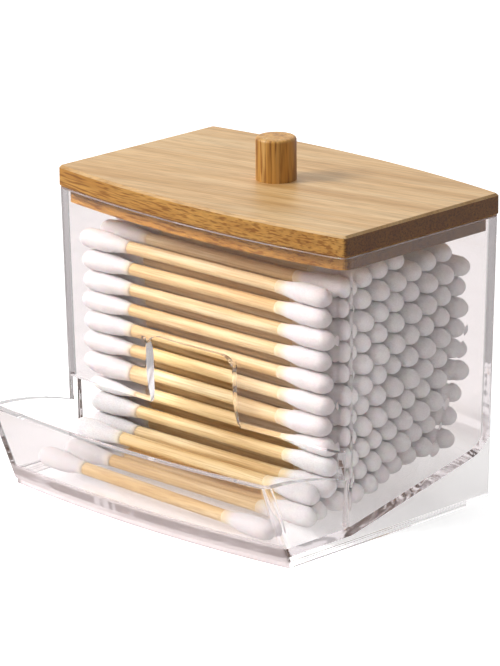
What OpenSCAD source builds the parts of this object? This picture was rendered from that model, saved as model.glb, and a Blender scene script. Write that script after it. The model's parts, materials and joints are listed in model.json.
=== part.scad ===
// Cotton swab holder: a clear moulded box with a ramp and an open tray, a wooden lid with a knob,
// and the swabs in it. X is the width, Y runs from the tray at the front to the back, Z is up.
// The box is drawn from the middle of its rim, and everything is then shifted back so that the
// middle of the whole footprint is the origin.

/* [Box] */
// Outer width at the rim
box_w = 85; // [80:1:100]
// Outer depth at the rim, measured along a side wall
box_d = 47.6; // [46:0.2:60]
// How far the front and back walls bow out in the middle
box_bow = 3.6; // [2:0.2:6]
// Height of the rim above the table
rim_h = 62.5; // [56:0.5:90]
// Outer radius of the four upright corners
corner_r = 3; // [2.6:0.1:5]
// Inner radius of the four upright corners
inner_r = 1.5; // [1:0.1:2.4]
// Thickness of the box walls
wall = 2.2; // [1.8:0.1:2.4]
// Lean of every wall towards the base, in degrees
draft = 1; // [0.5:0.1:1.2]

/* [Front opening] */
// Height of the front wall's lower edge above the table
opening_h = 18.8; // [17:0.1:22]
// Radius at the two ends of the front wall's lower edge
opening_r = 12; // [8:0.5:14]
// How far the front wall's lower edge falls towards the side walls
opening_drop = 2.8; // [1:0.1:4]
// Width of the thumb notch
notch_w = 25.6; // [18:0.2:34]
// Height of the thumb notch above the lower edge
notch_h = 17.5; // [10:0.5:22]
// Radius of the notch's upper corners
notch_r = 3.5; // [1:0.5:5]
// Radius where the notch runs out into the lower edge
flare_r = 4; // [1:0.5:5]

/* [Ramp and tray] */
// Height of the tray floor's upper face
floor_h = 4.2; // [3.6:0.1:6]
// Thickness of the floor and the ramp
floor_t = 2; // [1.4:0.1:2.2]
// Slope of the ramp in degrees
ramp_slope = 12.5; // [10:0.5:15]
// Distance from the foot of the ramp to the middle of the rim
ramp_front = 16; // [13:0.5:19]
// Inner radius from the ramp up into the back wall
ramp_r = 6; // [4:0.5:7]
// How far the tray's base reaches out in front of the box, at a side wall
tray_base = 15; // [14:0.5:24]
// How much farther out the tray's lip is than its base
tray_rake = 7.4; // [4:0.2:10]
// How far the tray's front bows out in the middle
tray_bow = 2.8; // [1.4:0.2:5]
// Radius of the tray's two upright corners
tray_corner_r = 2; // [1.9:0.1:3]
// Inner radius of the tray's two upright corners
tray_inner_r = 0.8; // [0.5:0.1:1.2]
// Height of the tray's lip above the table
lip_h = 18.8; // [17:0.1:22]
// Thickness of the tray's side and front walls
tray_wall = 1.8; // [1.4:0.1:2]
// Radius of the curved upper edge of the tray's sides
tray_side_r = 76; // [60:1:120]

/* [Foot rails] */
// Height of the foot rails
foot_h = 1.2; // [0.8:0.1:1.6]
// Width of the foot rails
foot_w = 1.2; // [1:0.1:1.3]
// Step in from the outer face to a foot rail
foot_inset = 0.4; // [0.2:0.1:0.5]
// Distance that the foot rails stop short of the back corners
foot_short = 8; // [5:0.5:12]

/* [Lid] */
// Thickness of the lid board
lid_t = 4.8; // [4:0.1:6]
// Step in from the box's outline to the edge of the lid board
lid_inset = 0.3; // [0:0.1:1]
// Radius of the lid board's upright corners
lid_corner_r = 0.9; // [0.7:0.1:2.5]
// Easing of the lid board's edges
lid_ease = 0.5; // [0.3:0.1:0.6]
// How far the plug drops into the box
plug_t = 3; // [2:0.1:4]
// Clearance between the plug and the box walls
plug_gap = 0.4; // [0.3:0.1:0.6]

/* [Knob and screw] */
// Diameter of the knob
knob_d = 8.7; // [8:0.1:16]
// Height of the knob
knob_h = 9.3; // [8:0.1:20]
// Rounding of the knob's upper edge
knob_ease = 0.7; // [0.3:0.1:1.5]
// Diameter of the screw's shank
screw_d = 2.4; // [2:0.1:3]
// Depth that the screw reaches into the knob
screw_bite = 5.5; // [4:0.5:6.5]
// Diameter of the screw's countersunk head
screw_head_d = 5.2; // [4.6:0.1:6]
// Width of the cross recess in the screw's head
slot_w = 0.8; // [0.5:0.1:1]
// Depth of the cross recess in the screw's head
slot_h = 1; // [0.6:0.1:1.1]
// Clearance around the screw in the wood
screw_gap = 0.06; // [0.05:0.01:0.15]

/* [Swabs] */
// Length of a swab
swab_l = 72.5; // [70:0.5:74]
// Diameter of a cotton bud
bud_d = 4.4; // [4:0.1:4.4]
// Length of a cotton bud
bud_l = 14.5; // [12:0.5:18]
// Length of a bud's full thickness, its round tip included
bud_full_l = 6.5; // [5:0.5:9]
// Diameter of a bud's thin end around the stick
bud_end_d = 3.3; // [3.1:0.1:3.5]
// Thickness of the cotton over the end of a stick
bud_tip = 2.5; // [1.5:0.1:3.5]
// Diameter of a stick
stick_d = 2.7; // [2:0.1:2.8]
// Clearance between a stick and the cotton wound on it
cotton_gap = 0.06; // [0.05:0.01:0.12]
// Clearance between the back wall and the rear column of swabs
rear_gap = 0.3; // [0.2:0.1:0.8]
// Clearance between the front wall and the front column of swabs
front_gap = 0.3; // [0.2:0.1:0.8]
// Clearance between one swab and the next above it
row_gap = 0.2; // [0.2:0.05:0.4]
// Clearance between the lowest swabs and what they lie on
seat_gap = 0.15; // [0.1:0.05:0.3]
// Least air left between the uppermost swabs and the plug
head_room = 0.9; // [0.9:0.1:12]
// How much lower the stack may reach at the front and the back than in the middle
crown = 3; // [2:0.5:8]
// How far the lowest swab of the rear column has slid down the ramp
rear_slip = 4.4; // [3:0.1:4.4]
// How far the lowest swabs of the front columns have slid
front_slip = 1.6; // [0.5:0.1:1.6]
// How far the rearmost swab in the tray lies in front of the front column
tray_slip = 2.8; // [2.5:0.1:3]
// Distance that the swabs lie nearer the left side wall
swab_side = 0.8; // [0:0.1:1.2]
// Greatest tilt of a swab in degrees
swab_tilt = 0.3; // [0:0.05:0.3]
// Greatest shift of a swab along its length
swab_shift = 0.5; // [0:0.1:0.8]
// Turn of the foremost tray swab in degrees
tray_yaw = 2.5; // [0:0.5:3]

/* [Hidden] */
columns = 9;
$fn = 48;

// Extra length that carries a cut past the faces it opens
past = 2;
// Number of steps in a drawn corner and in a drawn bow
corner_steps = 6;
bow_steps = 36;
fillet_steps = 12;
// Steps of a full turn for wide curves, and the turn that covers the ramp, which is turned about
// the back wall's far centre
turn_steps = 1440;
turn_angle = 40;
// Spill of the box and of the tray past the side faces that trim them
box_spill = 0.02;
tray_spill = 0.05;
// Bow of an outline's end that only shows as a straight line
flat_bow = 0.2;
// Inner corner of the foot rails
rail_r = 0.5;
// Rows over which the slide of the rear column and of the front columns fades out
rear_slip_rows = 3;
front_slip_rows = 1.1;

tray_reach = box_d / 2 + tray_base + tray_rake + tray_bow;
back_reach = box_d / 2 + box_bow;
shift_y = (tray_reach - back_reach) / 2;
rake_angle = atan(tray_rake / lip_h);

bud_r = bud_d / 2;
row_pitch = bud_d + row_gap;
stick_l = swab_l - 2 * bud_tip;

// How far a leaning wall stands in at height z from where it is at the rim
function inward(z) = (rim_h - z) * tan(draft);
function half_w(z) = box_w / 2 - inward(z);
// Radius of a bowed wall from half its width and its bow
function bow_radius(hw, bow) = (hw * hw + bow * bow) / (2 * bow);
// How far a bowed wall stands out at x
function bow_at(x, hw, bow) = sqrt(pow(bow_radius(hw, bow), 2) - x * x) - bow_radius(hw, bow) + bow;
// Place of the tray's front at a side wall, at height z
function tray_front(z) = -(box_d / 2 + tray_base + tray_rake * z / lip_h);

function arc_points(centre, r, from, to, steps) =
    [for (i = [1 : steps])
        let (a = from + (to - from) * i / steps)
        centre + r * [cos(a), sin(a)]];

// Plan outline with straight sides at x = -hw and x = hw, a bowed front and back whose ends
// would meet the sides at y = front and y = back, and four round corners
function outline(hw, front, back, front_bow, back_bow, r) =
    let (
        front_R = bow_radius(hw, front_bow),
        back_R = bow_radius(hw, back_bow),
        front_c = [0, front - front_bow + front_R],
        back_c = [0, back + back_bow - back_R],
        front_a = asin((hw - r) / (front_R - r)),
        back_a = asin((hw - r) / (back_R - r)),
        front_y = front_c.y - sqrt(pow(front_R - r, 2) - pow(hw - r, 2)),
        back_y = back_c.y + sqrt(pow(back_R - r, 2) - pow(hw - r, 2))
    )
    concat(
        arc_points([hw - r, front_y], r, front_a - 90, 0, corner_steps),
        arc_points([hw - r, back_y], r, 0, 90 - back_a, corner_steps),
        arc_points(back_c, back_R, 90 - back_a, 90 + back_a, bow_steps),
        arc_points([r - hw, back_y], r, 90 + back_a, 180, corner_steps),
        arc_points([r - hw, front_y], r, 180, 270 - front_a, corner_steps),
        arc_points(front_c, front_R, 270 - front_a, 270 + front_a, bow_steps)
    );

// Outline of the upright box at height z, moved in by step and widened at its sides by spill
function box_outline(z, step, spill, r) =
    let (d = box_d / 2 - inward(z) - step)
    outline(half_w(z) - step + spill, -d, d, box_bow, box_bow, r);

// Outline of the tray at height z, moved in by step, as far back as y = back
function tray_outline(z, step, spill, back, r) =
    outline(half_w(z) - step + spill, tray_front(z) + step / cos(rake_angle), back, tray_bow, flat_bow, r);

// Solid through outlines of equally many points, one at each height
module loft(rings, heights) {
    n = len(rings[0]);
    top = (len(rings) - 1) * n;
    points = [for (i = [0 : len(rings) - 1]) for (p = rings[i]) [p.x, p.y, heights[i]]];
    sides = [for (i = [0 : len(rings) - 2]) for (j = [0 : n - 1])
        [i * n + j, (i + 1) * n + j, (i + 1) * n + (j + 1) % n, i * n + (j + 1) % n]];
    polyhedron(points, concat(
        [[for (j = [0 : n - 1]) j]],
        sides,
        [[for (j = [n - 1 : -1 : 0]) top + j]]
    ));
}

// Wedge between two side faces that lean with the draft, set in by step from the outer faces
module between_sides(step) {
    rotate([90, 0, 0])
        linear_extrude(height = 4 * tray_reach, center = true)
            polygon([
                [-half_w(-past) + step, -past], [half_w(-past) - step, -past],
                [half_w(rim_h + past) - step, rim_h + past], [-half_w(rim_h + past) + step, rim_h + past]
            ]);
}

// Space above the tray's lip and above the curved upper edge of its sides, in front of the box
module above_tray() {
    lip_y = tray_front(lip_h);
    side_end = -(box_d / 2 - corner_r);
    rotate([90, 0, 90])
        linear_extrude(height = 2 * box_w, center = true)
            difference() {
                translate([-2 * tray_reach, 0])
                    square([2 * tray_reach + side_end, 2 * rim_h]);
                translate([lip_y, lip_h - tray_side_r])
                    circle(r = tray_side_r, $fn = turn_steps);
                translate([-2 * tray_reach, 0])
                    square([2 * tray_reach + lip_y, lip_h]);
            }
}

// Outside of the box and the tray as one block
module box_block() {
    intersection() {
        between_sides(0);
        union() {
            loft([
                box_outline(foot_h, 0, box_spill, corner_r),
                box_outline(rim_h, 0, box_spill, corner_r)
            ], [foot_h, rim_h]);
            difference() {
                loft([
                    tray_outline(foot_h, 0, tray_spill, 0, tray_corner_r),
                    tray_outline(lip_h + past, 0, tray_spill, 0, tray_corner_r)
                ], [foot_h, lip_h + past]);
                above_tray();
            }
        }
    }
}

// The ramp and the foot of the back wall are turned about the far centre of the back wall's bow.
// Profiles are drawn with s, the distance behind the middle of the rim, and z.
back_R = bow_radius(box_w / 2, box_bow);
back_centre = back_reach - back_R;

// Height of the ramp's upper face, extended both ways
function ramp_z(s) = floor_h + (s + ramp_front) * tan(ramp_slope);
// Centre of a fillet of radius r between the ramp, lowered by drop, and a wall face that is at
// s = reach at the rim's height
function fillet_centre(reach, drop, r) =
    let (
        foot = reach - rim_h * tan(draft) - r / cos(draft),
        rise = floor_h + ramp_front * tan(ramp_slope) - drop + r / cos(ramp_slope),
        s = (foot + rise * tan(draft)) / (1 - tan(draft) * tan(ramp_slope))
    )
    [s, rise + s * tan(ramp_slope)];

module turned(profile) {
    translate([0, back_centre, 0])
        rotate([0, 0, 90 - turn_angle / 2])
            rotate_extrude(angle = turn_angle, $fn = turn_steps)
                translate([-back_centre, 0])
                    polygon(profile);
}

// Everything above the tray floor, the ramp and its fillet
module above_floor() {
    centre = fillet_centre(back_reach - wall, 0, ramp_r);
    fillet = arc_points(centre, ramp_r, ramp_slope - 90, -draft, fillet_steps);
    end = fillet[fillet_steps - 1];
    start = centre + ramp_r * [sin(ramp_slope), -cos(ramp_slope)];
    turned(concat(
        [[-2 * tray_reach, floor_h], [-ramp_front, floor_h], start],
        fillet,
        [end + [past, 0], [end.x + past, 2 * rim_h], [-2 * tray_reach, 2 * rim_h]]
    ));
}

// Everything below the tray floor, the ramp and its outer fillet
module below_floor() {
    drop = floor_t / cos(ramp_slope);
    outer_r = ramp_r + floor_t;
    centre = fillet_centre(back_reach, drop, outer_r);
    fillet = arc_points(centre, outer_r, ramp_slope - 90, -draft, fillet_steps);
    end = fillet[fillet_steps - 1];
    start = centre + outer_r * [sin(ramp_slope), -cos(ramp_slope)];
    knee = -ramp_front + (drop - floor_t) / tan(ramp_slope);
    turned(concat(
        [[-2 * tray_reach, -past], [-2 * tray_reach, floor_h - floor_t], [knee, floor_h - floor_t], start],
        fillet,
        [end + [3 * past, 0], [end.x + 3 * past, -past]]
    ));
}

// Hollow under the floor and the ramp, open below and at the back
module under_hollow() {
    front = tray_front(foot_h) + tray_wall;
    front_R = bow_radius(half_w(foot_h), tray_bow);
    intersection() {
        below_floor();
        between_sides(wall);
        translate([0, front - tray_bow + front_R, -past])
            cylinder(r = front_R, h = rim_h, $fn = turn_steps);
    }
}

// Opening under the front wall and the thumb notch, drawn across the width
module front_cutout() {
    notch_top = opening_h + notch_h;
    edge_x = half_w(opening_h) - wall / 2;
    end_x = edge_x - sqrt(pow(opening_r, 2) - pow(opening_r - opening_drop, 2));
    intersection() {
        union() {
            translate([-end_x, 0])
                square([2 * end_x, opening_h]);
            for (side = [-1, 1])
                translate([side * end_x, opening_h - opening_r])
                    circle(r = opening_r);
            translate([-box_w / 2, 0])
                square([box_w, opening_h - opening_r]);
            difference() {
                translate([-notch_w / 2 - flare_r, opening_h - past])
                    square([notch_w + 2 * flare_r, past + flare_r]);
                for (side = [-1, 1])
                    translate([side * (notch_w / 2 + flare_r), opening_h + flare_r])
                        circle(r = flare_r);
            }
            translate([-notch_w / 2, opening_h])
                square([notch_w, notch_h - notch_r]);
            translate([notch_r - notch_w / 2, notch_top - 2 * notch_r])
                square([notch_w - 2 * notch_r, 2 * notch_r]);
            for (side = [-1, 1])
                translate([side * (notch_w / 2 - notch_r), notch_top - notch_r])
                    circle(r = notch_r);
        }
        polygon([
            [-half_w(0) + wall, 0], [half_w(0) - wall, 0],
            [half_w(rim_h) - wall, rim_h], [-half_w(rim_h) + wall, rim_h]
        ]);
    }
}

// Inside of the box and the tray
module box_space() {
    inner_top = rim_h + past;
    side_end = -(box_d / 2 - corner_r);
    intersection() {
        above_floor();
        union() {
            loft([
                box_outline(0, wall, 0, inner_r),
                box_outline(inner_top, wall, 0, inner_r)
            ], [0, inner_top]);
            translate([0, side_end, 0])
                rotate([90, 0, 0])
                    linear_extrude(height = box_bow + corner_r + past)
                        front_cutout();
            loft([
                tray_outline(0, tray_wall, 0, side_end, tray_inner_r),
                tray_outline(lip_h + past, tray_wall, 0, side_end, tray_inner_r)
            ], [0, lip_h + past]);
        }
    }
}

// Rails under the sides and the front that the box stands on
module foot_rails() {
    outer = [half_w(foot_h) - foot_inset, tray_front(foot_h) + foot_inset];
    inner = outer - [foot_w, -foot_w];
    rear = box_d / 2 - foot_short;
    linear_extrude(height = 2 * foot_h)
        difference() {
            polygon(outline(outer.x, outer.y, rear, tray_bow, flat_bow, tray_corner_r - foot_inset));
            polygon(outline(inner.x, inner.y, rear + past, tray_bow, flat_bow, rail_r));
        }
}

module clear_box() {
    color([0.93, 0.91, 0.92, 0.4])
        translate([0, shift_y, 0])
            difference() {
                union() {
                    difference() {
                        box_block();
                        under_hollow();
                    }
                    foot_rails();
                }
                box_space();
            }
}

// Outline of the lid board, moved in by ease
function board_outline(ease) =
    box_outline(rim_h, lid_inset + ease, 0, lid_corner_r - ease);

// Wooden lid: a board with eased edges and a stepped plug below it, bored for the screw
module lid() {
    board_low = rim_h;
    board_top = rim_h + lid_t;
    bore_d = screw_d + 2 * screw_gap;
    sink_d = screw_head_d + 2 * screw_gap;
    sink_h = (sink_d - bore_d) / 2;
    color("burlywood")
        translate([0, shift_y, 0])
            difference() {
                union() {
                    loft(
                        [for (ease = [lid_ease, 0, 0, lid_ease]) board_outline(ease)],
                        [board_low, board_low + lid_ease, board_top - lid_ease, board_top]
                    );
                    translate([0, 0, board_low - plug_t])
                        linear_extrude(height = plug_t + lid_ease)
                            polygon(box_outline(rim_h, wall + plug_gap, 0, inner_r));
                }
                translate([0, 0, board_low - plug_t - past])
                    cylinder(d = bore_d, h = plug_t + lid_t + 2 * past);
                translate([0, 0, board_low - plug_t - screw_gap])
                    cylinder(d1 = sink_d, d2 = bore_d, h = sink_h);
            }
}

// Turned wooden knob with a pilot hole from below
module knob() {
    pilot_h = screw_bite + screw_gap;
    color("burlywood")
        translate([0, shift_y, rim_h + lid_t])
            rotate_extrude()
                difference() {
                    union() {
                        square([knob_d / 2 - knob_ease, knob_h]);
                        square([knob_d / 2, knob_h - knob_ease]);
                        translate([knob_d / 2 - knob_ease, knob_h - knob_ease])
                            circle(r = knob_ease);
                    }
                    translate([0, -past])
                        square([screw_d / 2 + screw_gap, pilot_h + past]);
                }
}

// Countersunk screw from under the plug into the knob, with a cross recess
module knob_screw() {
    head_h = (screw_head_d - screw_d) / 2;
    length = plug_t + lid_t + screw_bite;
    slot_l = screw_head_d / 2;
    color("silver")
        translate([0, shift_y, rim_h - plug_t])
            difference() {
                rotate_extrude()
                    polygon([
                        [0, 0], [screw_head_d / 2, 0], [screw_d / 2, head_h],
                        [screw_d / 2, length - screw_d], [0, length]
                    ]);
                for (turn = [0, 90])
                    rotate([0, 0, turn])
                        translate([-slot_l / 2, -slot_w / 2, -past])
                            cube([slot_l, slot_w, slot_h + past]);
            }
}

// A stick along X
module stick() {
    rotate([0, 90, 0])
        cylinder(d = stick_d, h = stick_l, center = true);
}

// Cotton bud along X with its tip at the swab's end and its seat around the stick's end
module bud() {
    full_h = bud_l - bud_full_l;
    round_h = bud_l - bud_r;
    translate([swab_l / 2 - bud_l, 0, 0])
        rotate([0, 90, 0])
            rotate_extrude()
                difference() {
                    union() {
                        polygon([
                            [0, 0], [bud_end_d / 2, 0], [bud_r, full_h], [bud_r, round_h], [0, round_h]
                        ]);
                        translate([0, round_h])
                            intersection() {
                                circle(r = bud_r);
                                square(bud_d);
                            }
                    }
                    translate([0, -past])
                        square([stick_d / 2 + cotton_gap, bud_l - bud_tip + cotton_gap + past]);
                }
}

module bud_pair() {
    bud();
    mirror([1, 0, 0])
        bud();
}

// Room along Y for a swab's ends between the front and back walls, at height z
function room_at(z) = box_d / 2 + bow_at(swab_l / 2, box_w / 2, box_bow) - wall - inward(z);
// Place of column c at height z, when nothing has slid
function column_y(c, z) =
    let (
        rear = room_at(z) - rear_gap - bud_r,
        front = room_at(z) - front_gap - bud_r
    )
    rear - (c - 1) * (rear + front) / (columns - 1);
// How far the swab in row k of column c has slid towards the tray
function slip(c, k) =
    let (share = (columns - c) / (columns - 1))
    (1 - share) * front_slip * max(0, 1 - k / front_slip_rows)
        + share * rear_slip * max(0, 1 - k / rear_slip_rows);

// Height of a swab's middle when its ends lie on the ramp or the floor at y
function seat_z(y) =
    let (s = sqrt(pow(swab_l / 2, 2) + pow(y - back_centre, 2)) + back_centre)
    max(floor_h, ramp_z(s)) + bud_r / cos(ramp_slope) + seat_gap;
tray_z = floor_h + bud_r + seat_gap;

// Each column stands on the ramp, except the front one, which starts a row higher: it lies on the
// lowest swab of the column behind it and on the rearmost one in the tray
function first_row(c) = c < columns ? 0 : 1;
function seated_z(c) = seat_z(column_y(c, floor_h) - slip(c, 0));
function lowest_z(c) =
    c < columns ? seated_z(c) :
    let (behind = column_y(c - 1, tray_z) - slip(c - 1, 0) - column_y(c, tray_z) + slip(c, 1))
    seated_z(c - 1) + sqrt(pow(row_pitch, 2) - pow(behind, 2));
function top_z(c) =
    rim_h - plug_t - head_room - bud_r - crown * pow((2 * c - columns - 1) / (columns - 1), 2);
function rows(c) = floor((top_z(c) - lowest_z(c)) / row_pitch) + 1;

// Small changes from swab to swab that repeat the same way each time
function tilt_of(c, k) = swab_tilt * sin(47 * k + 71 * c);
function shift_of(c, k) = swab_shift * sin(131 * k + 67 * c) - swab_side;

module place_column(c) {
    for (k = [0 : rows(c) - 1])
        let (z = lowest_z(c) + k * row_pitch)
            translate([shift_of(c, k), column_y(c, z) - slip(c, k + first_row(c)) + shift_y, z])
                rotate([0, tilt_of(c, k), 0])
                    children();
}

// Four swabs in the tray: one just in front of the columns, one before it, one on top of the two,
// and one near the front wall, turned a little
inner_y = column_y(columns, tray_z) - tray_slip;
next_y = inner_y - row_pitch;
upper_rise = sqrt(pow(bud_d + row_gap / 2, 2) - pow((inner_y - next_y) / 2, 2));
lip_room = tray_front(floor_h) - bow_at(swab_l / 2, box_w / 2, tray_bow) + tray_wall / cos(rake_angle);
front_y = lip_room + bud_r + front_gap + swab_l / 2 * sin(tray_yaw);

tray_places = [
    [-swab_shift, inner_y, tray_z],
    [swab_shift, next_y, tray_z],
    [-swab_shift, (inner_y + next_y) / 2, tray_z + upper_rise]
];

module place_tray() {
    for (place = tray_places)
        translate(place + [-swab_side, shift_y, 0])
            children();
    translate([-swab_side, front_y + shift_y, tray_z])
        rotate([0, 0, -tray_yaw])
            children();
}

module sticks(c) {
    color("wheat")
        place_column(c)
            stick();
}

module buds(c) {
    color("white")
        place_column(c)
            bud_pair();
}

module tray_sticks() {
    color("wheat")
        place_tray()
            stick();
}

module tray_buds() {
    color("white")
        place_tray()
            bud_pair();
}

clear_box();
lid();
knob();
knob_screw();
for (c = [1 : columns]) {
    sticks(c);
    buds(c);
}
tray_sticks();
tray_buds();
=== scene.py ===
import json
import math
import random

import bmesh
import bpy
from mathutils import Matrix, Vector, noise

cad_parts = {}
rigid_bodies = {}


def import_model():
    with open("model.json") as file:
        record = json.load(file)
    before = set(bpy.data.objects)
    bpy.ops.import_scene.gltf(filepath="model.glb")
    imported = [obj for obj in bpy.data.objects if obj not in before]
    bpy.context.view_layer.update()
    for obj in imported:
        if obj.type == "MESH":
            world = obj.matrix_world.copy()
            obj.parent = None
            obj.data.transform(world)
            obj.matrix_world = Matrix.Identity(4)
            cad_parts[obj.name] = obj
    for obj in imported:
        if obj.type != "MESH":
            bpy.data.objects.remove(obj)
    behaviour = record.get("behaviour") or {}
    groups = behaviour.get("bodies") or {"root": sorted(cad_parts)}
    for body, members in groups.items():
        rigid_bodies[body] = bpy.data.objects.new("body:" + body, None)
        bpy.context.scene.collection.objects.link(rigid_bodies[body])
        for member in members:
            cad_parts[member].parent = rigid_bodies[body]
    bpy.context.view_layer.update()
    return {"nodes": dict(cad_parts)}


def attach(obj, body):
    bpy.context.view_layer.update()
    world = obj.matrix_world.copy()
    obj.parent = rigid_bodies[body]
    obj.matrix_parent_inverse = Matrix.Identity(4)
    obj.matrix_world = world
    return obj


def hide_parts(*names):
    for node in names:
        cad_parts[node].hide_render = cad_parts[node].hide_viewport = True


for leftover in list(bpy.data.objects):
    bpy.data.objects.remove(leftover)

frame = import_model()
nodes = frame["nodes"]
print("frame loaded:", len(nodes), "nodes")

mm = 0.001


# small helpers

def linearRgb(hexText):
    # sRGB hex to the linear values that the shaders want
    channels = [int(hexText[i:i + 2], 16) / 255 for i in (0, 2, 4)]
    return [c / 12.92 if c <= 0.04045 else ((c + 0.055) / 1.055) ** 2.4 for c in channels] + [1.0]


def addNode(mat, kind, inputs=None, **settings):
    # one node with its settings; a socket given as an input is linked, a number is set
    node = mat.node_tree.nodes.new(kind)
    for name, value in settings.items():
        setattr(node, name, value)
    for name, value in (inputs or {}).items():
        if isinstance(value, bpy.types.NodeSocket):
            mat.node_tree.links.new(value, node.inputs[name])
        else:
            node.inputs[name].default_value = value
    return node


def newMaterial(name):
    mat = bpy.data.materials.new(name)
    mat.use_nodes = True
    mat.node_tree.nodes.clear()
    return mat


def rampOf(mat, factor, stops):
    # colour ramp from (position, hex) pairs
    ramp = addNode(mat, "ShaderNodeValToRGB", {"Fac": factor})
    elements = ramp.color_ramp.elements
    while len(elements) < len(stops):
        elements.new(0.5)
    for element, (position, hexText) in zip(elements, stops):
        element.position = position
        element.color = linearRgb(hexText)
    return ramp.outputs["Color"]


def noiseOf(mat, place, sizeMm, detail=2.0, roughness=0.5):
    # noise with a real size along x, y and z
    fitted = addNode(mat, "ShaderNodeVectorMath", {0: place, 1: [1 / (s * mm) for s in sizeMm]},
                     operation="MULTIPLY")
    return addNode(mat, "ShaderNodeTexNoise", {
        "Vector": fitted.outputs[0], "Scale": 1.0, "Detail": detail, "Roughness": roughness}).outputs["Fac"]


def shareBetween(mat, value, ends, **settings):
    # 0 at the first end, rising to 1 at the second
    return addNode(mat, "ShaderNodeMapRange", {"Value": value, "From Min": ends[0], "From Max": ends[1]},
                   **settings).outputs[0]


def tinted(mat, share, colour, tint):
    # a colour multiplied by a tint, by a share from 0 to 1
    return addNode(mat, "ShaderNodeMix", {"Factor": share, 6: colour, 7: tint}, data_type="RGBA",
                   blend_type="MULTIPLY").outputs[2]


def finishMaterial(mat, surface, volume=None):
    links = {"Surface": surface}
    if volume:
        links["Volume"] = volume
    addNode(mat, "ShaderNodeOutputMaterial", links)
    return mat


# camera, found by fitting the box's edges in the photograph
cameraSetup = {
    "place": (0.6894, -0.6981, 0.3288),
    "right": (0.71413, 0.69998, -0.00630),
    "up": (-0.19609, 0.20869, 0.95812),
    "lensMm": 261.8,
}
camData = bpy.data.cameras.new("photoCamera")
camData.lens = cameraSetup["lensMm"]
camData.sensor_width = 36
camData.clip_start, camData.clip_end = 0.01, 50
cam = bpy.data.objects.new("photoCamera", camData)
bpy.context.scene.collection.objects.link(cam)
right = Vector(cameraSetup["right"]).normalized()
back = right.cross(Vector(cameraSetup["up"])).normalized()
up = back.cross(right)
cam.matrix_world = Matrix.Translation(cameraSetup["place"]) @ Matrix((right, up, back)).transposed().to_4x4()
bpy.context.scene.camera = cam
print("camera placed")


# light: a large soft lamp at the front left, a weak one above, and an even sky
lightSetup = {
    "key": {"place": (-0.46, -0.60, 0.60), "size": 0.32, "watts": 6.8},
    "top": {"place": (-0.15, 0.10, 0.95), "size": 0.50, "watts": 2.8},
    "sky": 0.17,
    "skyBehindGloss": 1.15,
    "floorBehindGloss": (0.30, 0.80),
    "floorGlow": 0.68,
    "floorGlowInside": 0.47,
    "paper": "f2f2f2",
    "floorHalf": 4.0,
    "floorShadeHalf": 0.3,
    "floorDropMm": 0.02,
    "aim": (0, 0, 0.03),
    "bounces": 72,
}
for lampName in ("key", "top"):
    setup = lightSetup[lampName]
    lampData = bpy.data.lights.new(lampName + "Lamp", "AREA")
    lampData.shape = "DISK"
    lampData.size = setup["size"]
    lampData.energy = setup["watts"]
    lamp = bpy.data.objects.new(lampName + "Lamp", lampData)
    bpy.context.scene.collection.objects.link(lamp)
    lamp.location = setup["place"]
    lamp.rotation_euler = (Vector(lightSetup["aim"]) - lamp.location).to_track_quat("-Z", "Y").to_euler()
    lamp.visible_camera = False
    lamp.visible_transmission = False


def seenAndTurned(mat):
    # seen: the eye looks straight or through clear plastic, turned: gloss has turned the ray
    path = addNode(mat, "ShaderNodeLightPath")
    seen = addNode(mat, "ShaderNodeMath", {
        0: path.outputs["Is Camera Ray"], 1: path.outputs["Is Glossy Ray"]}, operation="MAXIMUM")
    seen = addNode(mat, "ShaderNodeMath", {
        0: seen.outputs[0], 1: path.outputs["Is Transmission Ray"]}, operation="MAXIMUM")
    turned = addNode(mat, "ShaderNodeMath", {0: path.outputs["Glossy Depth"], 1: 0.5},
                     operation="GREATER_THAN")
    return seen.outputs[0], turned.outputs[0]


world = bpy.data.worlds.new("studioSky")
world.use_nodes = True
world.node_tree.nodes.clear()
bpy.context.scene.world = world
seen, turned = seenAndTurned(world)
level = addNode(world, "ShaderNodeMapRange", {
    "Value": turned, "To Min": 1.0, "To Max": lightSetup["skyBehindGloss"]})
strength = addNode(world, "ShaderNodeMix", {"Factor": seen, 2: lightSetup["sky"], 3: level.outputs[0]},
                   data_type="FLOAT")
sky = addNode(world, "ShaderNodeBackground", {"Color": linearRgb("ffffff"), "Strength": strength.outputs[0]})
addNode(world, "ShaderNodeOutputWorld", {"Surface": sky.outputs[0]})

floorMesh = bpy.data.meshes.new("floor")
half = lightSetup["floorHalf"]
floorCorners = [(-half, -half, 0), (half, -half, 0), (half, half, 0), (-half, half, 0)]
floorMesh.from_pydata(floorCorners, [], [(0, 1, 2, 3)])
floor = bpy.data.objects.new("floor", floorMesh)
bpy.context.scene.collection.objects.link(floor)
floor.location.z = -lightSetup["floorDropMm"] * mm
# matt backdrop paper, darker at the front for rays that gloss has turned
paper = newMaterial("whitePaper")
seen, turned = seenAndTurned(paper)
direct = addNode(paper, "ShaderNodeLightPath").outputs["Is Camera Ray"]
share = addNode(paper, "ShaderNodeMix", {"Factor": direct, 2: lightSetup["floorGlowInside"],
                                         3: lightSetup["floorGlow"]}, data_type="FLOAT")
glow = addNode(paper, "ShaderNodeMath", {0: seen, 1: share.outputs[0]}, operation="MULTIPLY")
matt = addNode(paper, "ShaderNodeBsdfDiffuse", {"Color": linearRgb(lightSetup["paper"])})
lit = addNode(paper, "ShaderNodeEmission", {"Color": linearRgb("ffffff"), "Strength": glow.outputs[0]})
both = addNode(paper, "ShaderNodeAddShader", {0: matt.outputs[0], 1: lit.outputs[0]})
fromFront = addNode(paper, "ShaderNodeSeparateXYZ",
                    {"Vector": addNode(paper, "ShaderNodeTexCoord").outputs["Object"]}).outputs["Y"]
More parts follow.
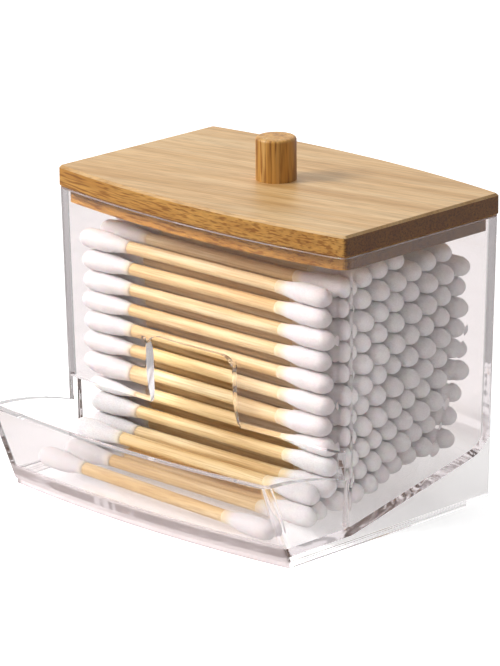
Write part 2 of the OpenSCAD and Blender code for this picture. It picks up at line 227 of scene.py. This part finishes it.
darkLevel = addNode(paper, "ShaderNodeMapRange", {
    "Value": fromFront, "From Min": -lightSetup["floorShadeHalf"], "From Max": lightSetup["floorShadeHalf"],
    "To Min": lightSetup["floorBehindGloss"][0], "To Max": lightSetup["floorBehindGloss"][1]})
dark = addNode(paper, "ShaderNodeEmission", {"Color": linearRgb("ffffff"), "Strength": darkLevel.outputs[0]})
paperOut = addNode(paper, "ShaderNodeMixShader", {"Fac": turned, 1: both.outputs[0], 2: dark.outputs[0]})
finishMaterial(paper, paperOut.outputs[0])
floorMesh.materials.append(paper)
cycles = bpy.context.scene.cycles
# light turns many times inside the thin walls before it leaves them
cycles.max_bounces = cycles.transmission_bounces = cycles.glossy_bounces = lightSetup["bounces"]
print("studio built")


# clear moulded acrylic: glass clear, faintly pink grey through its depth, with polished faces; a darker tint
# on front-facing faces is painted shade on the view through the front wall
acrylicLook = {
    "tint": "fcfafa",
    "frontShadeTint": "eee8e8",
    "footMm": (5.4, 4.6),
    "rimMm": (61.9, 62.2),
    "hazeAndShade": "dacdcd",
    "hazeAndShadeShare": 0.55,
    "depthTint": "d9cdd0",
    "depthPerM": 8.0,
    "ior": 1.49,
    "roughness": 0.015,
    "rippleMm": (14, 14, 14),
    "rippleDeepMm": 0.06,
    "rippleStrength": 0.25,
    "facesFrontY": (-0.5, -0.8),
    "facesUpZ": (0.3, 0.8),
}
acrylic = newMaterial("clearAcrylicMoulded")
place = addNode(acrylic, "ShaderNodeTexCoord").outputs["Object"]
ripple = noiseOf(acrylic, place, acrylicLook["rippleMm"], detail=1.0)
rippleBump = addNode(acrylic, "ShaderNodeBump", {
    "Height": ripple, "Strength": acrylicLook["rippleStrength"], "Distance": acrylicLook["rippleDeepMm"] * mm})
facing = addNode(acrylic, "ShaderNodeSeparateXYZ", {
    "Vector": addNode(acrylic, "ShaderNodeTexCoord").outputs["Normal"]})
facesFront = shareBetween(acrylic, facing.outputs["Y"], acrylicLook["facesFrontY"])
facesUp = shareBetween(acrylic, facing.outputs["Z"], acrylicLook["facesUpZ"])
height = addNode(acrylic, "ShaderNodeSeparateXYZ", {"Vector": place}).outputs["Z"]
atRim = shareBetween(acrylic, height, [h * mm for h in acrylicLook["rimMm"]])
atFoot = shareBetween(acrylic, height, [h * mm for h in acrylicLook["footMm"]])
rimShare = addNode(acrylic, "ShaderNodeMath", {0: facesUp, 1: atRim}, operation="MULTIPLY")
# the foot's outer front face, where the pale grey matt layer is painted shade
footShadeShare = addNode(acrylic, "ShaderNodeMath", {0: facesFront, 1: atFoot}, operation="MULTIPLY")
# front-facing faces take a darker pink grey: painted shade on the view through the front wall
acrylicTintAndFrontShade = addNode(acrylic, "ShaderNodeMix", {
    "Factor": facesFront, 6: linearRgb(acrylicLook["tint"]), 7: linearRgb(acrylicLook["frontShadeTint"])},
    data_type="RGBA")
acrylicShader = addNode(acrylic, "ShaderNodeBsdfPrincipled", {
    "Base Color": acrylicTintAndFrontShade.outputs[2], "Roughness": acrylicLook["roughness"],
    "IOR": acrylicLook["ior"], "Transmission Weight": 1.0, "Normal": rippleBump.outputs["Normal"]})
# the rim's top is hazy where it was trimmed; the foot's outer front face gets the same pale grey matt layer as
# painted shade, for the shade under the box seen through the foot
hazeAndShade = addNode(acrylic, "ShaderNodeBsdfDiffuse", {"Color": linearRgb(acrylicLook["hazeAndShade"])})
rimHazeAndFootShade = addNode(acrylic, "ShaderNodeMath", {0: footShadeShare.outputs[0], 1: rimShare.outputs[0]},
                  operation="MAXIMUM")
hazeAndShadeShare = addNode(acrylic, "ShaderNodeMath", {0: rimHazeAndFootShade.outputs[0], 1: acrylicLook["hazeAndShadeShare"]},
                    operation="MULTIPLY")
acrylicSurface = addNode(acrylic, "ShaderNodeMixShader", {
    "Fac": hazeAndShadeShare.outputs[0], 1: acrylicShader.outputs[0], 2: hazeAndShade.outputs[0]})
acrylicDepth = addNode(acrylic, "ShaderNodeVolumeAbsorption", {
    "Color": linearRgb(acrylicLook["depthTint"]), "Density": acrylicLook["depthPerM"]})
finishMaterial(acrylic, acrylicSurface.outputs[0], acrylicDepth.outputs[0])

boxShape = {
    "weldMm": 0.002,
    "flatDeg": 0.3,
    "edgeMm": 0.3,
    "edgeDeg": 28,
    "edgeSegments": 2,
    "halfWidthMm": 42.5,
    "rimMm": 62.5,
    "frontMm": -16.6,
    "bowMm": 3.6,
    "leanDeg": 1,
    "wallMm": 2.2,
    "levelMm": 0.8,
    "cutSlackMm": 0.01,
    "taperMm": 9.0,
    "splayMm": 2.1,
    "splayTallMm": 6.0,
    "splayWideMm": 5.5,
    "thinMm": 0.25,
    "notchHalfMm": 12.8,
    "notchFootMm": 19.0,
    "notchTopMm": 36.5,
    "notchCornerMm": 3.5,
    "cornerPower": 7,
    "arcSlackMm": 0.06,
    "belowFootMm": 3.5,
    "firstLevelMm": 2,
    "outerSlackMm": 0.3,
    "innerSlackMm": 0.4,
    "topSlackMm": 0.1,
    "taperPower": 1.5,
    "taperEndMm": 6.5,
    "taperFadeMm": 8,
    "splayInMm": 1.5,
}


def frontWallDepth(co, shape):
    # how far inside the front wall's outer face a point lies, in mm, from the wall's bow and lean
    x, y, z = co / mm
    lean = (shape["rimMm"] - z) * math.tan(math.radians(shape["leanDeg"]))
    halfWidth, bow = shape["halfWidthMm"] - lean, shape["bowMm"]
    radius = (halfWidth ** 2 + bow ** 2) / (2 * bow)
    return y - (shape["frontMm"] + lean + radius - math.sqrt(radius ** 2 - x * x))


def squareNotch(co, shape):
    # a point on the arc of one of the notch's upper corners, pushed out to a tight moulded corner
    corner = shape["notchCornerMm"]
    sideways = abs(co.x) / mm - (shape["notchHalfMm"] - corner)
    upwards = co.z / mm - (shape["notchTopMm"] - corner)
    if sideways < 0 or upwards < 0 or abs(math.hypot(sideways, upwards) - corner) > shape["arcSlackMm"]:
        return
    power = 2 / shape["cornerPower"]
    side = math.copysign(1, co.x)
    co.x = side * (shape["notchHalfMm"] - corner + corner * (sideways / corner) ** power) * mm
    co.z = (shape["notchTopMm"] - corner + corner * (upwards / corner) ** power) * mm


def shapeNotch(bm, shape):
    # the front wall thins from outside towards its lower edge, and the notch's left side splays near its top
    wall, thin = shape["wallMm"], shape["wallMm"] - shape["thinMm"]
    foot, top, half = shape["notchFootMm"], shape["notchTopMm"], shape["notchHalfMm"]
    level = foot - shape["firstLevelMm"]
    while level < top:
        faces = [f for f in bm.faces if all(-wall < frontWallDepth(v.co, shape) < 2 * wall for v in f.verts)]
        geom = faces + list({e for f in faces for e in f.edges}) + list({v for f in faces for v in f.verts})
        bmesh.ops.bisect_plane(bm, geom=geom, dist=shape["cutSlackMm"] * mm, plane_co=(0, 0, level * mm),
                               plane_no=(0, 0, 1))
        level += shape["levelMm"]
    for vert in bm.verts:
        depth = frontWallDepth(vert.co, shape)
        inWall = -shape["outerSlackMm"] < depth < wall + shape["innerSlackMm"]
        if not inWall or not foot - shape["belowFootMm"] < vert.co.z / mm < top + shape["topSlackMm"]:
            continue
        squareNotch(vert.co, shape)
        x, z = abs(vert.co.x) / mm, vert.co.z / mm
        if depth < wall / 2:
            down = min(1, max(0, (foot + shape["taperMm"] - z) / shape["taperMm"]))
            aside = min(1, max(0, (shape["halfWidthMm"] - shape["taperEndMm"] - x) / shape["taperFadeMm"]))
            vert.co.y += thin * down ** shape["taperPower"] * aside * mm
        elif half - shape["splayInMm"] < x < half + shape["splayWideMm"] and vert.co.x < 0:
            rise = max(0, (z - top + shape["splayTallMm"]) / shape["splayTallMm"])
            fade = 1 - max(0, x - half) / shape["splayWideMm"]
            slide = shape["splayMm"] * rise ** 2 * fade * min(1, max(0, x - half + shape["splayInMm"]))
            vert.co.x += math.copysign(slide, vert.co.x) * mm
            vert.co.y -= (frontWallDepth(vert.co, shape) - depth) * mm


def mouldedBox(source, shape):
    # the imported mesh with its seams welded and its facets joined, ready for eased edges
    bm = bmesh.new()
    bm.from_mesh(source.data)
    bmesh.ops.remove_doubles(bm, verts=bm.verts, dist=shape["weldMm"] * mm)
    bmesh.ops.dissolve_limit(bm, angle_limit=math.radians(shape["flatDeg"]), verts=bm.verts, edges=bm.edges)
    shapeNotch(bm, shape)
    for face in bm.faces:
        face.smooth = True
    mesh = bpy.data.meshes.new("acrylic_box")
    bm.to_mesh(mesh)
    bm.free()
    piece = bpy.data.objects.new("acrylic_box", mesh)
    bpy.context.scene.collection.objects.link(piece)
    rounded = piece.modifiers.new("rounded", "BEVEL")
    rounded.limit_method = "ANGLE"
    rounded.angle_limit = math.radians(shape["edgeDeg"])
    rounded.width = shape["edgeMm"] * mm
    rounded.segments = shape["edgeSegments"]
    shading = piece.modifiers.new("shading", "WEIGHTED_NORMAL")
    shading.keep_sharp = True
    return piece


acrylicBox = mouldedBox(nodes["clear_box"], boxShape)
acrylicBox.data.materials.append(acrylic)
acrylicBox.visible_shadow = False
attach(acrylicBox, "base")
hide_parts("clear_box")
print("clear box dressed")


# bamboo: pale gold fibre bundles, with darker ones that show as dots where the cut crosses them
def bambooMaterial(name, look):
    mat = newMaterial(name)
    place = addNode(mat, "ShaderNodeTexCoord").outputs["Object"]
    facing = addNode(mat, "ShaderNodeSeparateXYZ", {
        "Vector": addNode(mat, "ShaderNodeTexCoord").outputs["Normal"]})
    upward = shareBetween(mat, facing.outputs["Z"], look["facesUpZ"])
    aside = addNode(mat, "ShaderNodeMath", {0: 1.0, 1: upward}, operation="SUBTRACT").outputs[0]
    # mask of the end facing +X, turned away from the lamps
    shadedEndGrain = shareBetween(mat, facing.outputs["X"], look["facesEndX"])
    turns = [addNode(mat, "ShaderNodeVectorRotate", {"Vector": place, "Rotation": (0, 0, math.radians(deg))},
                     rotation_type="EULER_XYZ").outputs[0] for deg in look["sideTopTurnDeg"]]
    grain = addNode(mat, "ShaderNodeMix", {"Factor": upward, 4: turns[0], 5: turns[1]},
                    data_type="VECTOR").outputs[1]
    broad = noiseOf(mat, grain, look["broadMm"], detail=3.0, roughness=0.6)
    fine = noiseOf(mat, grain, look["fineMm"], detail=3.0, roughness=0.65)
    fleck = noiseOf(mat, grain, look["fleckMm"], detail=1.0)
    fleckShare = addNode(mat, "ShaderNodeMix", {
        "Factor": upward, 2: look["fleckShare"][0], 3: look["fleckShare"][1]}, data_type="FLOAT").outputs[0]
    colour = rampOf(mat, broad, look["broadStops"])
    colour = tinted(mat, look["fineShare"], colour, rampOf(mat, fine, look["fineStops"]))
    colour = tinted(mat, fleckShare, colour, rampOf(mat, fleck, look["fleckStops"]))
    colour = tinted(mat, aside, colour, linearRgb(look["sideTint"]))
    # the end facing +X is darkened: partly the darker end grain, partly painted shade on the end turned away
    # from the lamps
    colour = tinted(mat, shadedEndGrain, colour, linearRgb(look["endGrainAndShadeTint"]))
    bump = addNode(mat, "ShaderNodeBump", {
        "Height": fine, "Strength": look["bumpStrength"], "Distance": look["bumpMm"] * mm})
    shader = addNode(mat, "ShaderNodeBsdfPrincipled", {
        "Base Color": colour, "Roughness": look["roughness"], "IOR": look["ior"],
        "Normal": bump.outputs["Normal"]})
    return finishMaterial(mat, shader.outputs[0])


lidLook = {
    "broadMm": (60, 4, 4),
    "fineMm": (16, 0.5, 0.5),
    "fleckMm": (6, 0.5, 0.38),
    "broadStops": [(0.30, "c99a5c"), (0.50, "dcb279"), (0.70, "e6c28e")],
    "fineStops": [(0.30, "b8b8b8"), (0.62, "ffffff")],
    "fleckStops": [(0.36, "b0904e"), (0.50, "ffffff")],
    "fineShare": 0.5,
    "fleckShare": (0.75, 0.22),
    "sideTint": "f2d99a",
    "endGrainAndShadeTint": "947f4a",
    "roughness": 0.45,
    "ior": 1.5,
    "bumpStrength": 0.35,
    "bumpMm": 0.08,
    "sideTopTurnDeg": (9, -11),
    "facesUpZ": (0.2, 0.8),
    "facesEndX": (0.6, 0.95),
}
knobLook = dict(lidLook, broadMm=(2.2, 2.2, 60), fineMm=(0.5, 0.5, 14), fleckMm=(0.6, 0.6, 9),
                fleckShare=(0.8, 0.4), sideTint="ffffff", endGrainAndShadeTint="ffffff", sideTopTurnDeg=(0, 0),
                broadStops=[(0.30, "ae772e"), (0.50, "d69d4a"), (0.70, "e6b870")])
bambooLid = bambooMaterial("bambooBoard", lidLook)
bambooKnob = bambooMaterial("bambooTurned", knobLook)
for nodeName, mat in (("lid", bambooLid), ("knob", bambooKnob)):
    nodes[nodeName].data.materials.clear()
    nodes[nodeName].data.materials.append(mat)
print("bamboo lid and knob dressed")

# screw: bright zinc plated steel, turned
steelLook = {
    "tone": "c4c5c8",
    "turningMm": (2, 2, 0.1),
    "roughness": (0.25, 0.45),
}
steel = newMaterial("zincPlatedSteel")
place = addNode(steel, "ShaderNodeTexCoord").outputs["Object"]
turning = noiseOf(steel, place, steelLook["turningMm"])
steelRough = addNode(steel, "ShaderNodeMapRange", {
    "Value": turning, "To Min": steelLook["roughness"][0], "To Max": steelLook["roughness"][1]})
steelShader = addNode(steel, "ShaderNodeBsdfPrincipled", {
    "Base Color": linearRgb(steelLook["tone"]), "Metallic": 1.0, "Roughness": steelRough.outputs[0]})
finishMaterial(steel, steelShader.outputs[0])
nodes["knob_screw"].data.materials.clear()
nodes["knob_screw"].data.materials.append(steel)


# birch sticks: pale yellow, rolled smooth, with short fine streaks along X
stickLook = {
    "streakMm": (12, 0.35, 0.35),
    "toneMm": (40, 3, 3),
    "tones": [(0.35, "e0bb80"), (0.50, "eccd98"), (0.65, "f2dbae")],
    "streakStops": [(0.35, "b98c4c"), (0.55, "ffffff")],
    "streakShare": 0.35,
    "roughness": 0.6,
    "ior": 1.5,
    "bumpStrength": 0.3,
    "bumpMm": 0.05,
}
birch = newMaterial("birchDowel")
place = addNode(birch, "ShaderNodeTexCoord").outputs["Object"]
tone = noiseOf(birch, place, stickLook["toneMm"])
streak = noiseOf(birch, place, stickLook["streakMm"])
stickColour = tinted(birch, stickLook["streakShare"], rampOf(birch, tone, stickLook["tones"]),
                     rampOf(birch, streak, stickLook["streakStops"]))
stickBump = addNode(birch, "ShaderNodeBump", {
    "Height": streak, "Strength": stickLook["bumpStrength"], "Distance": stickLook["bumpMm"] * mm})
birchShader = addNode(birch, "ShaderNodeBsdfPrincipled", {
    "Base Color": stickColour, "Roughness": stickLook["roughness"], "IOR": stickLook["ior"],
    "Normal": stickBump.outputs["Normal"]})
finishMaterial(birch, birchShader.outputs[0])


# cotton: matt white fibre wound on the stick, with a faint halo, thin where it ends on the wood
cottonLook = {
    "fluffStops": [(0.35, "dfd8d9"), (0.6, "eeeae9")],
    "fibreMm": (0.5, 0.18, 0.18),
    "overStick": "f0d9b0",
    "thinToFullMm": (21.6, 25.6),
    "raggedMm": 1.2,
    "roughness": 0.9,
    "bumpStrength": 0.5,
    "bumpMm": 0.12,
    "specular": 0.1,
    "sheen": 0.3,
    "sheenRoughness": 0.6,
    "scatter": 0.15,
    "scatterMm": 1,
}
cotton = newMaterial("woundCotton")
place = addNode(cotton, "ShaderNodeTexCoord").outputs["Object"]
fibre = noiseOf(cotton, place, cottonLook["fibreMm"], detail=3.0, roughness=0.7)
alongX = addNode(cotton, "ShaderNodeSeparateXYZ", {"Vector": place}).outputs["X"]
fromMiddle = addNode(cotton, "ShaderNodeMath", {0: alongX}, operation="ABSOLUTE").outputs[0]
ragged = addNode(cotton, "ShaderNodeMath", {0: fibre, 1: cottonLook["raggedMm"] * mm, 2: fromMiddle},
                 operation="MULTIPLY_ADD").outputs[0]
cover = shareBetween(cotton, ragged, [x * mm for x in cottonLook["thinToFullMm"]],
                     interpolation_type="SMOOTHSTEP")
cottonTone = addNode(cotton, "ShaderNodeMix", {
    "Factor": cover, 6: linearRgb(cottonLook["overStick"]),
    7: rampOf(cotton, fibre, cottonLook["fluffStops"])}, data_type="RGBA")
cottonBump = addNode(cotton, "ShaderNodeBump", {
    "Height": fibre, "Strength": cottonLook["bumpStrength"], "Distance": cottonLook["bumpMm"] * mm})
cottonShader = addNode(cotton, "ShaderNodeBsdfPrincipled", {
    "Base Color": cottonTone.outputs[2], "Roughness": cottonLook["roughness"],
    "Specular IOR Level": cottonLook["specular"], "Sheen Weight": cottonLook["sheen"],
    "Sheen Roughness": cottonLook["sheenRoughness"], "Subsurface Weight": cottonLook["scatter"],
    "Subsurface Scale": cottonLook["scatterMm"] * mm, "Normal": cottonBump.outputs["Normal"]})
finishMaterial(cotton, cottonShader.outputs[0])


# buds: wound cotton, no two quite alike
budShape = {
    "lengthMm": 14.5,
    "fullMm": 6.5,
    "radiusMm": 2.32,
    "tipMm": 2.9,
    "nosePower": 2.0,
    "stickRadiusMm": 1.36,
    "endLipMm": 0.04,
    "unevenLeftMm": 0.8,
    "unevenRightMm": 0.25,
    "rings": 22,
    "sides": 20,
    "lumpMm": 0.10,
    "lumpSizeMm": 2.2,
    "windMm": 0.035,
    "windTurns": 5,
    "seed": 7,
    "straightShare": 0.55,
    "slimmest": 0.95,
    "ringPower": 1.35,
    "fadeMm": 2,
    "lumpBias": 0.35,
    "windPitchMm": 1.6,
    "noseMm": 0.02,
    "tuckMm": 0.05,
    "unevenOut": 0.4,
    "swabHalfMm": 36.25,
    "weldMm": 0.001,
}


def budRadius(s, shape):
    # radius at s mm from the tip: round nose, full body, long taper onto the stick
    if s < shape["tipMm"]:
        t = 1 - s / shape["tipMm"]
        return shape["radiusMm"] * (1 - t ** shape["nosePower"]) ** (1 / shape["nosePower"])
    if s < shape["fullMm"]:
        return shape["radiusMm"]
    t = (s - shape["fullMm"]) / (shape["lengthMm"] - shape["fullMm"])
    ease = t * t * (3 - 2 * t)
    end = shape["stickRadiusMm"] + shape["endLipMm"]
    straight = shape["straightShare"]
    return shape["radiusMm"] + (end - shape["radiusMm"]) * (straight * t + (1 - straight) * ease)


def looseSticks(node):
    # centre and direction of each stick in a CAD node
    bm = bmesh.new()
    bm.from_mesh(node.data)
    bmesh.ops.remove_doubles(bm, verts=bm.verts, dist=budShape["weldMm"] * mm)
    left = set(bm.verts)
    found = []
    while left:
        group, queue = [], [left.pop()]
        while queue:
            vert = queue.pop()
            group.append(vert.co.copy())
            for edge in vert.link_edges:
                other = edge.other_vert(vert)
                if other in left:
                    left.remove(other)
                    queue.append(other)
        centre = sum(group, Vector()) / len(group)
        ends = [co for co in group if (co - centre).x > 0]
        tip = sum(ends, Vector()) / len(ends)
        found.append((centre, (tip - centre).normalized()))
    bm.free()
    return sorted(found, key=lambda f: (round(f[0].z, 5), round(f[0].y, 5)))


def addBud(bm, tip, inward, shape, rng):
    # one bud as rings from its tip towards the stick
    side = inward.cross(Vector((0, 0, 1))).normalized()
    upward = side.cross(inward)
    spin = rng.uniform(0, 2 * math.pi)
    offset = Vector((rng.uniform(0, 90), rng.uniform(0, 90), rng.uniform(0, 90)))
    stretch = rng.uniform(shape["slimmest"], 1.0)
    rings = []
    for i in range(1, shape["rings"] + 1):
        share = i / shape["rings"]
        s = shape["lengthMm"] * share ** shape["ringPower"]
        ring = []
        for j in range(shape["sides"]):
            a = spin + 2 * math.pi * j / shape["sides"]
            around = side * math.cos(a) + upward * math.sin(a)
            r = budRadius(s, shape) * (stretch if s < shape["fullMm"] else 1)
            fade = min(1, s / shape["fadeMm"]) * min(1, max(0, (shape["lengthMm"] - s) / shape["fadeMm"]))
            at = (inward * s + around * r) / shape["lumpSizeMm"] + offset
            r += (noise.noise(at) - shape["lumpBias"]) * shape["lumpMm"] * fade
            r += shape["windMm"] * (math.sin(a + shape["windTurns"] * s / shape["windPitchMm"]) - 1) * fade
            ring.append(bm.verts.new(tip + (inward * s + around * r) * mm))
        rings.append(ring)
    nose = bm.verts.new(tip + inward * shape["noseMm"] * mm)
    sides = shape["sides"]
    for j in range(sides):
        bm.faces.new((nose, rings[0][(j + 1) % sides], rings[0][j]))
        for inner, outer in zip(rings, rings[1:]):
            bm.faces.new((inner[j], inner[(j + 1) % sides], outer[(j + 1) % sides], outer[j]))
    # the last ring turns in to the stick, so the cotton ends in a thin lip
    onAxis = tip + inward * shape["lengthMm"] * mm
    tucked = (shape["stickRadiusMm"] - shape["tuckMm"]) * mm
    lip = [bm.verts.new(onAxis + (vert.co - onAxis).normalized() * tucked) for vert in rings[-1]]
    for j in range(sides):
        bm.faces.new((rings[-1][j], rings[-1][(j + 1) % sides], lip[(j + 1) % sides], lip[j]))
    bm.faces.new(list(reversed(lip)))


rng = random.Random(budShape["seed"])
stickNames = sorted(n for n in nodes if "sticks" in n)
for stickName in stickNames:
    budName = stickName.replace("sticks", "buds")
    nodes[stickName].data.materials.clear()
    nodes[stickName].data.materials.append(birch)
    bm = bmesh.new()
    for centre, along in looseSticks(nodes[stickName]):
        for way in (-1, 1):
            uneven = budShape["unevenLeftMm" if way < 0 else "unevenRightMm"]
            reach = budShape["swabHalfMm"] - rng.uniform(-budShape["unevenOut"], 1) * uneven
            addBud(bm, centre + along * way * reach * mm, -along * way, budShape, rng)
    bmesh.ops.recalc_face_normals(bm, faces=bm.faces)
    mesh = bpy.data.meshes.new("cotton_" + budName)
    bm.to_mesh(mesh)
    bm.free()
    for polygon in mesh.polygons:
        polygon.use_smooth = True
    mesh.materials.append(cotton)
    piece = bpy.data.objects.new("cotton_" + budName, mesh)
    bpy.context.scene.collection.objects.link(piece)
    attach(piece, "base")
    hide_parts(budName)
print("swabs dressed")

bpy.context.scene.view_settings.view_transform = "Standard"
